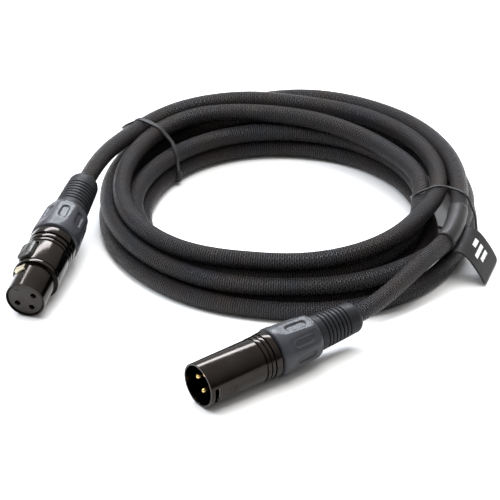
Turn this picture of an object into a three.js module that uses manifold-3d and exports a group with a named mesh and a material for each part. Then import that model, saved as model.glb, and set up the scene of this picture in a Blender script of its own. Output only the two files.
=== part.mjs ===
// A microphone cable tied up as a flat coil, with a three-pin plug on one end and its
// socket on the other. Millimetres, +Z up, the floor at z = 0.
import * as THREE from "three";
import { mergeVertices } from "three/addons/utils/BufferGeometryUtils.js";
import Module from "manifold-3d";

const wasm = await Module();
wasm.setup();

// ---- the cable and its coil ----
const CABLE_R = 3.7;
const GAP = 0.3;
const COIL_X = 14.8;
const COIL_Y = 32.9;
const COIL_OUTER_R = 80.2;
const COIL_INNER_R = 54.8;
const COIL_LAYERS_Z = [3.7, 11.1, 18.5];
const COIL_TOP_R = [75.3, 67.6, 60.0];
const COIL_SHRINK_Y = 0.976;
const HOLE_SHIFT = [-3.2, -1.0];
const COIL_SEGMENTS = 48;

// ---- the two connectors: where the front face is, the way to the back, the latch side ----
const PLUG_AT = [-37.4, -136.6, 9.55];
const PLUG_AXIS = [0.8, 0.5985, 0.027];
const PLUG_LATCH = [0.597, -0.784, -0.172];
const SOCKET_AT = [-109.1, -72.3, 8.45];
const SOCKET_AXIS = [0.287, 0.9493, 0.1282];
const SOCKET_LATCH = [-0.586, 0.0681, 0.8075];

// ---- shared connector sizes ----
const SHELL_R = 9.5;
const BAND_R = 9.85;
const NECK_R = 8.5;
const NECK_BORE_R = 7.2;
const NECK_LENGTH = 5.6;
const CONTACT_CIRCLE_R = 4.4;
const PIN_R = 1.2;
const SOCKET_TUBE_R = 1.8;
const SOCKET_BORE_R = 1.3;
const SKIRT_R = 10.5;
const GRIP_END_R = 9.2;
const FLATS_R = 10.9;
const FLATS_END_R = 9.6;
const RELIEF_R = 7.6;
const RELIEF_END_R = 6.3;
const RELIEF_BORE_R = 4.15;
const RELIEF_GROOVES = 7;
const FINGER_RECESSES = 8;
const ROUND = 30;
const RELIEF_ROUND = 20;
const CABLE_SIDES = 10;

// ---- plug lengths along its axis from the rim ----
const CUP_R = 8.6;
const CUP_DEPTH = 17;
const PIN_TIP_AT = 2.5;
const PLUG_BODY_END = 27.8;
const PLUG_SHELL_END = 35.3;
const PLUG_NUT_FROM = 36;
const PLUG_RELIEF_FROM = 57.5;
const PLUG_END = 79.5;

// ---- socket lengths along its axis from the nose ----
const NOSE_R = 8.45;
const NOSE_BORE_R = 7.8;
const NOSE_LENGTH = 13.6;
const COLLAR_R = 9.9;
const SOCKET_BODY_END = 28;
const SOCKET_SHELL_END = 36.8;
const SOCKET_NUT_FROM = 37.6;
const SOCKET_RELIEF_FROM = 57.2;
const SOCKET_END = 79;
const BUTTON_LENGTH = 9.4;
const BUTTON_WIDTH = 7.6;

// ---- ties and label ----
const TIE_R = 0.7;
const TIE_TOP = 22.5;
const LEFT_TIE_ANGLE = 142;
const RIGHT_TIE_ANGLE = -7;
const LEFT_TIE_SPAN = [55.6, 80.6];
const RIGHT_TIE_SPAN = [50.6, 80.9];
const TIE_SIDE = TIE_R + GAP / 2;
const SLEEVE_R = 4.2;
const FLAG_WIDTH = 20.6;
const FLAG_THICK = 0.7;

// ---- the loose runs of cable, in the coil's own plan ----
const PLUG_TAIL = [
  [31.4, -85.1, 11.9],
  [39.0, -76.6, 13.2],
  [45.4, -68.9, 15.0],
  [54.9, -56.1, 17.5],
  [65.1, -43.4, 18.5],
  [69.1, -30.7, 18.5],
  [71.0, -18.4, 18.5],
  [71.9, -8.0, 18.5],
];
const SOCKET_TAIL = [
  [-84.6, 8.6, 19.3],
  [-80.8, 20.5, 19.6],
  [-74.5, 33.5, 19.1],
  [-67.4, 42.6, 18.5],
];

// ---- finishes ----
const braid = () => finish(0x2b2a2c, 0.62, 0.05);
const blackChrome = () => finish(0x17181a, 0.16, 0.95);
const plastic = () => finish(0x1c1e22, 0.48, 0);
const rubber = () => finish(0x24272c, 0.72, 0);
const gold = () => finish(0xd0a24c, 0.24, 1);
const insulator = () => finish(0x4a423c, 0.55, 0);
const steel = () => finish(0xb4a888, 0.3, 0.9);
const waxedCord = () => finish(0x1a1a1d, 0.5, 0);
const labelFilm = () => finish(0x3a393c, 0.4, 0.1);

function finish(color, roughness, metalness) {
  return new THREE.MeshStandardMaterial({ color, roughness, metalness });
}

function piece(name, geometry, material) {
  const mesh = new THREE.Mesh(geometry, material);
  mesh.name = name;
  return mesh;
}

// A closed outline of [radius, height] pairs, turned about Y with its faces outwards.
function turned(outline, segments = ROUND) {
  const loop = outline.map(([r, s]) => new THREE.Vector2(r, s));
  if (THREE.ShapeUtils.area(loop) < 0) loop.reverse();
  loop.push(loop[0].clone());
  return new THREE.LatheGeometry(loop, segments);
}

// A round tube along a path, hollow if a bore is given.
function tube(points, radius, steps, sides = 12, bore = 0) {
  const path = new THREE.CatmullRomCurve3(points.map((p) => new THREE.Vector3(...p)));
  const shape = new THREE.Shape();
  shape.absarc(0, 0, radius, 0, Math.PI * 2, false);
  if (bore > 0) {
    const hole = new THREE.Path();
    hole.absarc(0, 0, bore, 0, Math.PI * 2, true);
    shape.holes.push(hole);
  }
  return new THREE.ExtrudeGeometry(shape, { steps, extrudePath: path, curveSegments: sides / 2 });
}

function toSolid(geometry) {
  const bare = geometry.clone();
  bare.deleteAttribute("normal");
  bare.deleteAttribute("uv");
  const merged = mergeVertices(bare, 1e-4);
  return new wasm.Manifold(
    new wasm.Mesh({
      numProp: 3,
      vertProperties: new Float32Array(merged.attributes.position.array),
      triVerts: new Uint32Array(merged.index.array),
    }),
  );
}

function toGeometry(solid) {
  const mesh = solid.getMesh();
  const geometry = new THREE.BufferGeometry();
  geometry.setAttribute("position", new THREE.BufferAttribute(new Float32Array(mesh.vertProperties), 3));
  geometry.setIndex(new THREE.BufferAttribute(new Uint32Array(mesh.triVerts), 1));
  geometry.computeVertexNormals();
  return geometry;
}

function cut(geometry, tools) {
  let solid = toSolid(geometry);
  for (const tool of tools) solid = solid.subtract(toSolid(tool));
  return toGeometry(solid);
}

// A box from one corner to the other.
function block([x0, y0, z0], [x1, y1, z1]) {
  const box = new THREE.BoxGeometry(x1 - x0, y1 - y0, z1 - z0);
  return box.translate((x0 + x1) / 2, (y0 + y1) / 2, (z0 + z1) / 2);
}

// A group whose +Y runs along the axis and whose +X points at the latch side.
function placed(at, axis, latch) {
  const y = new THREE.Vector3(...axis).normalize();
  const x = new THREE.Vector3(...latch);
  x.addScaledVector(y, -x.dot(y)).normalize();
  const z = new THREE.Vector3().crossVectors(x, y);
  const group = new THREE.Group();
  group.quaternion.setFromRotationMatrix(new THREE.Matrix4().makeBasis(x, y, z));
  group.position.set(...at);
  return group;
}

// A point of the coil's plan that lies so far along a connector's axis.
function along(at, axis, s) {
  const y = new THREE.Vector3(...axis).normalize();
  return new THREE.Vector3(...at).addScaledVector(y, s).toArray();
}

function polar(degrees, r, z) {
  const a = THREE.MathUtils.degToRad(degrees);
  return [r * Math.cos(a), r * Math.sin(a), z];
}

// ---- the coil ----

// The bundle's cross-section: a flat foot, then one round bulge for every strand in view.
function bundleOutline() {
  const [low, middle, high] = COIL_LAYERS_Z;
  const outer = COIL_OUTER_R - CABLE_R;
  const inner = COIL_INNER_R + CABLE_R;
  const strands = [
    [outer, low, -90, 60],
    [outer, middle, -45, 60],
    [COIL_TOP_R[0], high, -30, 120],
    [COIL_TOP_R[1], high, 60, 120],
    [COIL_TOP_R[2], high, 60, 205],
    [inner, middle, 125, 235],
    [inner, low, 125, 270],
  ];
  const points = [];
  for (const [r, z, from, to] of strands) {
    const count = Math.max(2, Math.round((to - from) / 45));
    for (let i = 0; i <= count; i++) {
      const a = THREE.MathUtils.degToRad(from + ((to - from) * i) / count);
      points.push([r + CABLE_R * Math.cos(a), z + CABLE_R * Math.sin(a)]);
    }
  }
  return points;
}

// The hole sits a little off the centre of the outside, as a hand-wound coil's does.
function windOffCentre(geometry) {
  const at = geometry.attributes.position;
  for (let i = 0; i < at.count; i++) {
    const r = Math.hypot(at.getX(i), at.getY(i));
    const t = (COIL_OUTER_R - r) / (COIL_OUTER_R - COIL_INNER_R);
    const x = at.getX(i) + HOLE_SHIFT[0] * t;
    const y = at.getY(i) * COIL_SHRINK_Y + HOLE_SHIFT[1] * t;
    at.setXY(i, x, y);
  }
  return geometry;
}

function coil() {
  const ring = turned(bundleOutline(), COIL_SEGMENTS).rotateX(Math.PI / 2);
  const clear = CABLE_R + GAP + 0.2;
  const tools = [
    tube(PLUG_TAIL, clear, 18, CABLE_SIDES),
    tube(SOCKET_TAIL, clear, 12, CABLE_SIDES),
    tube(sleevePath(0.06), SLEEVE_R + GAP + 0.2, 6),
    tieBand(LEFT_TIE_ANGLE, -TIE_SIDE, LEFT_TIE_SPAN, GAP),
    tieBand(LEFT_TIE_ANGLE, TIE_SIDE, LEFT_TIE_SPAN, GAP),
    tieBand(RIGHT_TIE_ANGLE, 0, RIGHT_TIE_SPAN, GAP),
  ];
  return piece("cable_coil", cut(windOffCentre(ring), tools), braid());
}

function plugTail() {
  const start = along(PLUG_AT, PLUG_AXIS, PLUG_NUT_FROM + 2);
  const straight = along(PLUG_AT, PLUG_AXIS, PLUG_END - 4);
  const last = PLUG_TAIL.length - 1;
  const end = new THREE.Vector3(...PLUG_TAIL[last]);
  const back = new THREE.Vector3(...PLUG_TAIL[last - 1]).sub(end).setLength(GAP);
  const points = [start, straight, ...PLUG_TAIL.slice(0, last), end.add(back).toArray()];
  return piece("cable_plug_tail", tube(points, CABLE_R, 26, CABLE_SIDES), braid());
}

function socketTail() {
  const start = along(SOCKET_AT, SOCKET_AXIS, SOCKET_NUT_FROM + 2);
  const straight = along(SOCKET_AT, SOCKET_AXIS, SOCKET_END - 4);
  const last = SOCKET_TAIL.length - 1;
  const end = new THREE.Vector3(...SOCKET_TAIL[last]);
  const back = new THREE.Vector3(...SOCKET_TAIL[last - 1]).sub(end).setLength(GAP);
  const points = [start, straight, ...SOCKET_TAIL.slice(0, last), end.add(back).toArray()];
  return piece("cable_socket_tail", tube(points, CABLE_R, 20, CABLE_SIDES), braid());
}

// ---- both connectors ----

// The screw-down nut at the back: a round skirt, an eight-sided tapered grip with a finger
// recess in every flat, a shoulder.
function nut(prefix, from, to) {
  const end = to - GAP;
  const outline = [
    [NECK_R + 0.4, from],
    [SKIRT_R - 0.3, from],
    [SKIRT_R, from + 0.4],
    [SKIRT_R, from + 4.6],
    [GRIP_END_R + 0.5, end - 3.2],
    [GRIP_END_R, end - 1.2],
    [8.2, end],
    [RELIEF_BORE_R, end],
    [RELIEF_BORE_R, end - 2],
    [NECK_BORE_R, end - 2.8],
    [NECK_BORE_R, from + NECK_LENGTH],
    [NECK_R + 0.4, from + NECK_LENGTH + 0.6],
  ];
  const flatsFrom = from + 3.8;
  const flats = new THREE.CylinderGeometry(FLATS_END_R, FLATS_R, end + 1 - flatsFrom, 8, 1);
  flats.rotateY(Math.PI / 8).translate(0, (end + 1 + flatsFrom) / 2, 0);
  const skirt = new THREE.CylinderGeometry(12, 12, 5.8, 16, 1).translate(0, from + 1.2, 0);
  let solid = toSolid(turned(outline)).intersect(toSolid(flats).add(toSolid(skirt)));
  const length = end - 5.4 - (from + 8);
  for (let i = 0; i < FINGER_RECESSES; i++) {
    const tool = new THREE.CapsuleGeometry(1.9, length, 2, 8);
    tool.rotateZ(0.06).translate(10.75, from + 8 + length / 2, 0);
    tool.rotateY((i * Math.PI * 2) / FINGER_RECESSES);
    solid = solid.subtract(toSolid(tool));
  }
  return piece(prefix + "_nut", toGeometry(solid), plastic());
}

// The rubber strain relief: a smooth band, the bending grooves, a rounded end.
function relief(prefix, from, to) {
  const grooved = to - 5.5;
  const pitch = (grooved - from - 3.5) / RELIEF_GROOVES;
  const radius = (s) => RELIEF_R + ((RELIEF_END_R + 0.2 - RELIEF_R) * (s - from)) / (to - from);
  const outline = [
    [RELIEF_BORE_R, from],
    [RELIEF_R - 0.2, from],
    [RELIEF_R, from + 0.4],
  ];
  for (let i = 0; i < RELIEF_GROOVES; i++) {
    const s = from + 3.5 + i * pitch;
    outline.push([radius(s), s], [radius(s) - 0.8, s + 0.15]);
    outline.push([radius(s) - 0.8, s + 0.75], [radius(s), s + 0.9]);
  }
  outline.push([radius(to - 1.6), to - 1.6], [RELIEF_END_R - 0.5, to - 0.4]);
  outline.push([RELIEF_END_R - 1.3, to], [RELIEF_BORE_R, to]);
  return piece(prefix + "_relief", turned(outline, RELIEF_ROUND), rubber());
}

// The collet that the nut squeezes onto the cable.
function clamp(prefix, from, to) {
  const outline = [
    [CABLE_R + 0.35, from],
    [6.6, from],
    [6.6, to - 2],
    [5.6, to],
    [CABLE_R + 0.35, to],
  ];
  return piece(prefix + "_cable_clamp", turned(outline, 24), plastic());
}

// The three leads from the stripped end of the cable to the contacts.
function leads(prefix, cableEnd, contactEnd) {
  const group = new THREE.Group();
  ["shield", "live", "return"].forEach((use, i) => {
    const a = ((i + 1) * Math.PI) / 2;
    const near = [1.4 * Math.cos(a), cableEnd - GAP, 1.4 * Math.sin(a)];
    const far = [CONTACT_CIRCLE_R * Math.cos(a), contactEnd + GAP, CONTACT_CIRCLE_R * Math.sin(a)];
    group.add(piece(prefix + "_lead_" + use, tube([near, far], 0.6, 1, 8), rubber()));
  });
  return group;
}

function disc(radius, from, to, holeR, pocket = []) {
  const shape = new THREE.Shape();
  shape.absarc(0, 0, radius, 0, Math.PI * 2, false);
  for (let i = 1; i <= 3; i++) {
    const a = (i * Math.PI) / 2;
    const hole = new THREE.Path();
    hole.absarc(CONTACT_CIRCLE_R * Math.cos(a), -CONTACT_CIRCLE_R * Math.sin(a), holeR, 0, Math.PI * 2, true);
    shape.holes.push(hole);
  }
  const slab = new THREE.ExtrudeGeometry(shape, { depth: to - from, bevelEnabled: false, curveSegments: 12 });
  slab.rotateX(-Math.PI / 2).translate(0, from, 0);
  return pocket.length ? cut(slab, pocket) : slab;
}

// ---- the plug ----

function plugShell() {
  const outline = [
    [CUP_R, 0.2],
    [CUP_R + 0.2, 0],
    [SHELL_R - 0.3, 0],
    [SHELL_R, 0.3],
    [SHELL_R, PLUG_BODY_END],
    [SHELL_R - 0.5, PLUG_BODY_END],
    [SHELL_R - 0.5, 28.3],
    [BAND_R - 0.2, 28.3],
    [BAND_R - 0.2, 30.0],
    [SHELL_R - 0.5, 30.0],
    [SHELL_R - 0.5, 30.5],
    [BAND_R - 0.2, 30.5],
    [BAND_R - 0.2, 32.0],
    [SHELL_R - 0.5, 32.0],
    [SHELL_R - 0.5, 32.5],
    [BAND_R, 32.5],
    [BAND_R, PLUG_SHELL_END],
    [NECK_R, PLUG_SHELL_END],
    [NECK_R, PLUG_SHELL_END + NECK_LENGTH],
    [NECK_BORE_R, PLUG_SHELL_END + NECK_LENGTH],
    [NECK_BORE_R, 30.5],
    [8.0, 30.0],
    [8.0, CUP_DEPTH],
    [CUP_R, CUP_DEPTH],
  ];
  const tools = [
    block([7, 1.8, -3.6], [11, 4.2, 3.6]),
    block([SHELL_R - 0.35, 4.6, -4.2], [11, 12, 4.2]),
  ];
  return piece("plug_shell", cut(turned(outline), tools), blackChrome());
}

function plugPins() {
  const group = new THREE.Group();
  for (let i = 1; i <= 3; i++) {
    const a = (i * Math.PI) / 2;
    const outline = [
      [0, PIN_TIP_AT],
      [0.55, PIN_TIP_AT + 0.12],
      [0.95, PIN_TIP_AT + 0.45],
      [PIN_R, PIN_TIP_AT + 1.1],
      [PIN_R, 33.2],
      [0, 33.2],
    ];
    const loop = outline.map(([r, s]) => new THREE.Vector2(r, s));
    const pin = piece("plug_pin_" + i, new THREE.LatheGeometry(loop, 16), gold());
    pin.position.set(CONTACT_CIRCLE_R * Math.cos(a), 0, CONTACT_CIRCLE_R * Math.sin(a));
    group.add(pin);
  }
  return group;
}

function plug() {
  const group = placed(PLUG_AT, PLUG_AXIS, PLUG_LATCH);
  const holder = disc(8.0 - GAP, CUP_DEPTH + GAP, 29.5, PIN_R + GAP);
  group.add(plugShell(), plugPins(), piece("plug_insulator", holder, insulator()));
  group.add(clamp("plug", PLUG_NUT_FROM + 6, PLUG_RELIEF_FROM - 4.2));
  group.add(nut("plug", PLUG_NUT_FROM, PLUG_RELIEF_FROM));
  group.add(relief("plug", PLUG_RELIEF_FROM, PLUG_END));
  group.add(leads("plug", PLUG_NUT_FROM + 2, 33.2));
  return group;
}

// ---- the socket ----

function socketShell() {
  const outline = [
    [NOSE_BORE_R, 0.2],
    [NOSE_BORE_R + 0.15, 0],
    [NOSE_R - 0.25, 0],
    [NOSE_R, 0.3],
    [NOSE_R, NOSE_LENGTH],
    [COLLAR_R - 0.2, NOSE_LENGTH],
    [COLLAR_R, NOSE_LENGTH + 0.3],
    [COLLAR_R, 15.4],
    [SHELL_R - 0.4, 15.4],
    [SHELL_R - 0.4, 16.0],
    [BAND_R - 0.1, 16.0],
    [BAND_R - 0.1, SOCKET_BODY_END],
    [SHELL_R - 0.4, SOCKET_BODY_END],
    [SHELL_R - 0.4, 28.4],
    [BAND_R, 28.4],
    [BAND_R, 29.8],
    [SHELL_R - 0.4, 29.8],
    [SHELL_R - 0.4, 30.6],
    [BAND_R, 30.6],
    [BAND_R, 32.4],
    [SHELL_R - 0.4, 32.4],
    [SHELL_R - 0.4, 33.4],
    [BAND_R + 0.05, 33.4],
    [BAND_R + 0.05, SOCKET_SHELL_END],
    [NECK_R, SOCKET_SHELL_END],
    [NECK_R, SOCKET_SHELL_END + NECK_LENGTH],
    [NECK_BORE_R, SOCKET_SHELL_END + NECK_LENGTH],
    [NECK_BORE_R, 28.0],
    [NOSE_BORE_R, 27.4],
  ];
  const tools = [
    block([6, 9.0, -3.1], [12, 12.9, 3.1]),
    block([6, 16.6, -4.2], [12, 26.8, 4.2]),
  ];
  return piece("socket_shell", cut(turned(outline), tools), blackChrome());
}

function socketInsulator() {
  const keyway = new THREE.CylinderGeometry(1.4, 1.4, 8, 3, 1);
  keyway.rotateY(-Math.PI / 2).translate(7.2, 4.4, 0);
  const pocket = [block([5.2, 8.2, -3.4], [9, 28, 3.4]), keyway];
  const slab = disc(NOSE_BORE_R - GAP, 0.5, 27, SOCKET_TUBE_R + GAP, pocket);
  return piece("socket_insulator", slab, insulator());
}

function socketContacts() {
  const group = new THREE.Group();
  for (let i = 1; i <= 3; i++) {
    const a = (i * Math.PI) / 2;
    const outline = [
      [SOCKET_BORE_R, 1.2],
      [SOCKET_TUBE_R, 1.2],
      [SOCKET_TUBE_R, 31],
      [SOCKET_BORE_R, 31],
    ];
    const contact = piece("socket_contact_" + i, turned(outline, 16), gold());
    contact.position.set(CONTACT_CIRCLE_R * Math.cos(a), 0, CONTACT_CIRCLE_R * Math.sin(a));
    group.add(contact);
  }
  return group;
}

// The steel latch lever: a hook through the nose, a long arm, a seat for the button.
function latchLever() {
  const side = [
    [6.4, 9.4],
    [9.35, 9.8],
    [9.35, 12.2],
    [8.3, 12.5],
    [7.2, 12.9],
    [7.2, 17.8],
    [8.7, 17.8],
    [8.7, 25.4],
    [7.2, 25.8],
    [6.4, 26.2],
  ];
  const shape = new THREE.Shape(side.map(([x, y]) => new THREE.Vector2(x, y)));
  const bar = new THREE.ExtrudeGeometry(shape, { depth: 5.2, bevelEnabled: false });
  return piece("socket_latch_lever", bar.translate(0, 0, -2.6), steel());
}

// The thumb button, a low pad with round corners that fills the shell's slot.
function latchButton() {
  const shape = new THREE.Shape();
  const corner = 2.0;
  const long = BUTTON_LENGTH / 2 - corner;
  const wide = BUTTON_WIDTH / 2 - corner;
  shape.absarc(long, wide, corner, 0, Math.PI / 2, false);
  shape.absarc(-long, wide, corner, Math.PI / 2, Math.PI, false);
  shape.absarc(-long, -wide, corner, Math.PI, Math.PI * 1.5, false);
  shape.absarc(long, -wide, corner, Math.PI * 1.5, Math.PI * 2, false);
  const cap = new THREE.ExtrudeGeometry(shape, {
    depth: 0.9,
    curveSegments: 4,
    bevelSize: 0.7,
    bevelThickness: 0.8,
    bevelOffset: -0.7,
    bevelSegments: 2,
  });
  cap.rotateY(Math.PI / 2).rotateX(Math.PI / 2).translate(9.0 + 0.8, 21.6, 0);
  return piece("socket_latch_button", cap, plastic());
}

function socket() {
  const group = placed(SOCKET_AT, SOCKET_AXIS, SOCKET_LATCH);
  group.add(socketShell(), socketInsulator(), socketContacts());
  group.add(latchLever(), latchButton());
  group.add(clamp("socket", SOCKET_NUT_FROM + 6, SOCKET_RELIEF_FROM - 4.2));
  group.add(nut("socket", SOCKET_NUT_FROM, SOCKET_RELIEF_FROM));
  group.add(relief("socket", SOCKET_RELIEF_FROM, SOCKET_END));
  group.add(leads("socket", SOCKET_NUT_FROM + 2, 31));
  return group;
}

// ---- ties and label ----

// One turn of thin cord round the whole bundle, standing in a radial plane. With slack it is
// the clearance that the cord needs.
function tieBand(degrees, offset, [innerR, outerR], slack = 0) {
  const w = 2 * TIE_R;
  const rounded = (grow) => {
    const x0 = innerR - grow;
    const x1 = outerR + grow;
    const z0 = w - grow;
    const z1 = TIE_TOP + grow;
    const c = 3.2 + grow;
    return [
      [x0 + c, z0],
      [x1 - c, z0],
      [x1 - c * 0.3, z0 + c * 0.3],
      [x1, z0 + c],
      [x1, z1 - c],
      [x1 - c * 0.3, z1 - c * 0.3],
      [x1 - c, z1],
      [x0 + c, z1],
      [x0 + c * 0.3, z1 - c * 0.3],
      [x0, z1 - c],
      [x0, z0 + c],
      [x0 + c * 0.3, z0 + c * 0.3],
    ].map(([x, z]) => new THREE.Vector2(x, z));
  };
  const shape = new THREE.Shape(rounded(w + slack));
  shape.holes.push(new THREE.Path(rounded(-slack)));
  const band = new THREE.ExtrudeGeometry(shape, { depth: w + 2 * slack, bevelEnabled: false });
  band.rotateX(Math.PI / 2).translate(0, offset + w / 2 + slack, 0);
  return band.rotateZ(THREE.MathUtils.degToRad(degrees));
}

function ties() {
  const group = new THREE.Group();
  const left1 = tieBand(LEFT_TIE_ANGLE, -TIE_SIDE, LEFT_TIE_SPAN);
  const left2 = tieBand(LEFT_TIE_ANGLE, TIE_SIDE, LEFT_TIE_SPAN);
  group.add(piece("tie_left_turn_1", left1, waxedCord()));
  group.add(piece("tie_left_turn_2", left2, waxedCord()));
  group.add(piece("tie_right_turn", tieBand(RIGHT_TIE_ANGLE, 0, RIGHT_TIE_SPAN), waxedCord()));
  const twist = [polar(141, 53.3, 1.2), polar(143, 52.4, 4.5), polar(142, 53.2, 9.0)];
  group.add(piece("tie_left_twist", tube(twist, 1.0, 4, 8), waxedCord()));
  const bight = [polar(143.6, 82.9, 19.5), polar(144.2, 86, 18.2), polar(142.2, 87.4, 17.4)];
  bight.push(polar(140.2, 86, 18.2), polar(140.8, 82.9, 19.5));
  group.add(piece("tie_left_bight", tube(bight, 0.5, 10, 8), waxedCord()));
  return group;
}

// The stretch of the plug's tail that the label is wrapped round.
function sleevePath(extra) {
  const path = new THREE.CatmullRomCurve3(PLUG_TAIL.map((p) => new THREE.Vector3(...p)));
  const segments = PLUG_TAIL.length - 1;
  const from = (4 - extra) / segments;
  const to = (6 + extra) / segments;
  const points = [];
  for (let i = 0; i <= 6; i++) points.push(path.getPoint(from + ((to - from) * i) / 6).toArray());
  return points;
}

function labelSleeve() {
  return piece("label_sleeve", tube(sleevePath(0), SLEEVE_R, 6, 16, CABLE_R + 0.25), labelFilm());
}

// The folded flag of the label, drooping from under the sleeve to the floor.
function labelFlag() {
  const path = [
    [2.6, 14.9],
    [5.0, 14.1],
    [8.0, 11.8],
    [11.2, 7.4],
    [15.2, 0.8],
  ];
  const up = path.map(([u, z], i) => {
    const next = path[Math.min(i + 1, path.length - 1)];
    const prev = path[Math.max(i - 1, 0)];
    const n = new THREE.Vector2(prev[1] - next[1], next[0] - prev[0]).setLength(FLAG_THICK / 2);
    return [new THREE.Vector2(u, z).add(n), new THREE.Vector2(u, z).sub(n)];
  });
  const outline = [...up.map((pair) => pair[0]), ...up.map((pair) => pair[1]).reverse()];
  const sheet = new THREE.ExtrudeGeometry(new THREE.Shape(outline), {
    depth: FLAG_WIDTH,
    bevelEnabled: false,
  });
  const u = new THREE.Vector3(0.958, -0.288, 0).normalize();
  const v = new THREE.Vector3(0, 0, 1);
  const w = new THREE.Vector3().crossVectors(u, v);
  const flag = piece("label_flag", sheet, labelFilm());
  flag.quaternion.setFromRotationMatrix(new THREE.Matrix4().makeBasis(u, v, w));
  flag.position.set(72.5, -24.7, 0);
  return flag;
}

const root = new THREE.Group();
root.name = "microphone_cable_coil";
const plan = new THREE.Group();
plan.position.set(COIL_X, COIL_Y, 0);
plan.add(coil(), plugTail(), socketTail(), plug(), socket(), ties(), labelSleeve(), labelFlag());
root.add(plan);

export default root;
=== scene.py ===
"""The looks of a tied-up microphone cable: braid, black chrome connectors, ties and a label."""

import math

import bmesh
import bpy
import numpy as np
from mathutils import Matrix, Vector


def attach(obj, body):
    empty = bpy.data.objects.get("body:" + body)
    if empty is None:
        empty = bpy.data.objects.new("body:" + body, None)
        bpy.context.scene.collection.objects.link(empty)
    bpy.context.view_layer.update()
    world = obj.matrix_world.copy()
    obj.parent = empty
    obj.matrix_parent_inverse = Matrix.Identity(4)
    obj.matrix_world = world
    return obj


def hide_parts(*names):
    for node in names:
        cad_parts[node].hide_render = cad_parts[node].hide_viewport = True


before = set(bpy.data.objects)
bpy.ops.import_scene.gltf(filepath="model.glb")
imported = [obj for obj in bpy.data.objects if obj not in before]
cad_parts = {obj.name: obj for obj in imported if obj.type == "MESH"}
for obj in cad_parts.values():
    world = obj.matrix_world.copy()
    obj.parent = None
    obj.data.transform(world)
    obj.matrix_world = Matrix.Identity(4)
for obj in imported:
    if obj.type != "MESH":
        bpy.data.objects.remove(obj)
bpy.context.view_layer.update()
MM = 0.001

# ---- the camera: a long lens, well back and above the near edge ----
CAMERA_AT = (-1.8, -1761.3, 1129.9)
CAMERA_TILT = 57.5
CAMERA_LENS = 360

camera = bpy.data.objects.new("camera", bpy.data.cameras.new("camera"))
bpy.context.scene.collection.objects.link(camera)
bpy.context.scene.camera = camera
camera.data.lens = CAMERA_LENS
camera.data.sensor_width = 36
camera.data.clip_end = 20
camera.location = Vector(CAMERA_AT) * MM
camera.rotation_euler = (math.radians(CAMERA_TILT), 0, 0)

# ---- the cable's line, in millimetres from the middle of the coil ----
COIL = np.array([14.8, 32.9, 0.0])
CABLE_R = 3.7
RIB_PITCH = 0.98
STEP = 3.0

# How strands that lie in one another are moved apart.
STRAND_GAP = 0.04
NEAR_POINTS = 8
HELD_POINTS = 22.0
PUSH_SHARE = 0.32
PULL_BACK = 0.01
FULL_ROUNDS = 90

PLUG_AT = (-37.4, -136.6, 9.55)
PLUG_AXIS = (0.8, 0.5985, 0.027)
PLUG_LATCH = (0.597, -0.784, -0.172)
SOCKET_AT = (-109.1, -72.3, 8.45)
SOCKET_AXIS = (0.287, 0.9493, 0.1282)
SOCKET_LATCH = (-0.586, 0.0681, 0.8075)

PLUG_TAIL = [
    (31.4, -85.1, 11.9),
    (39.0, -76.6, 13.2),
    (45.4, -68.9, 15.0),
    (54.9, -56.1, 17.5),
    (65.1, -43.4, 18.5),
    (69.1, -30.7, 18.5),
    (71.0, -18.4, 18.5),
    (71.9, -8.0, 18.5),
]
SOCKET_TAIL = [
    (-84.6, 8.6, 19.3),
    (-80.8, 20.5, 19.6),
    (-74.5, 33.5, 19.1),
    (-67.4, 42.6, 18.5),
]

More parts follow.
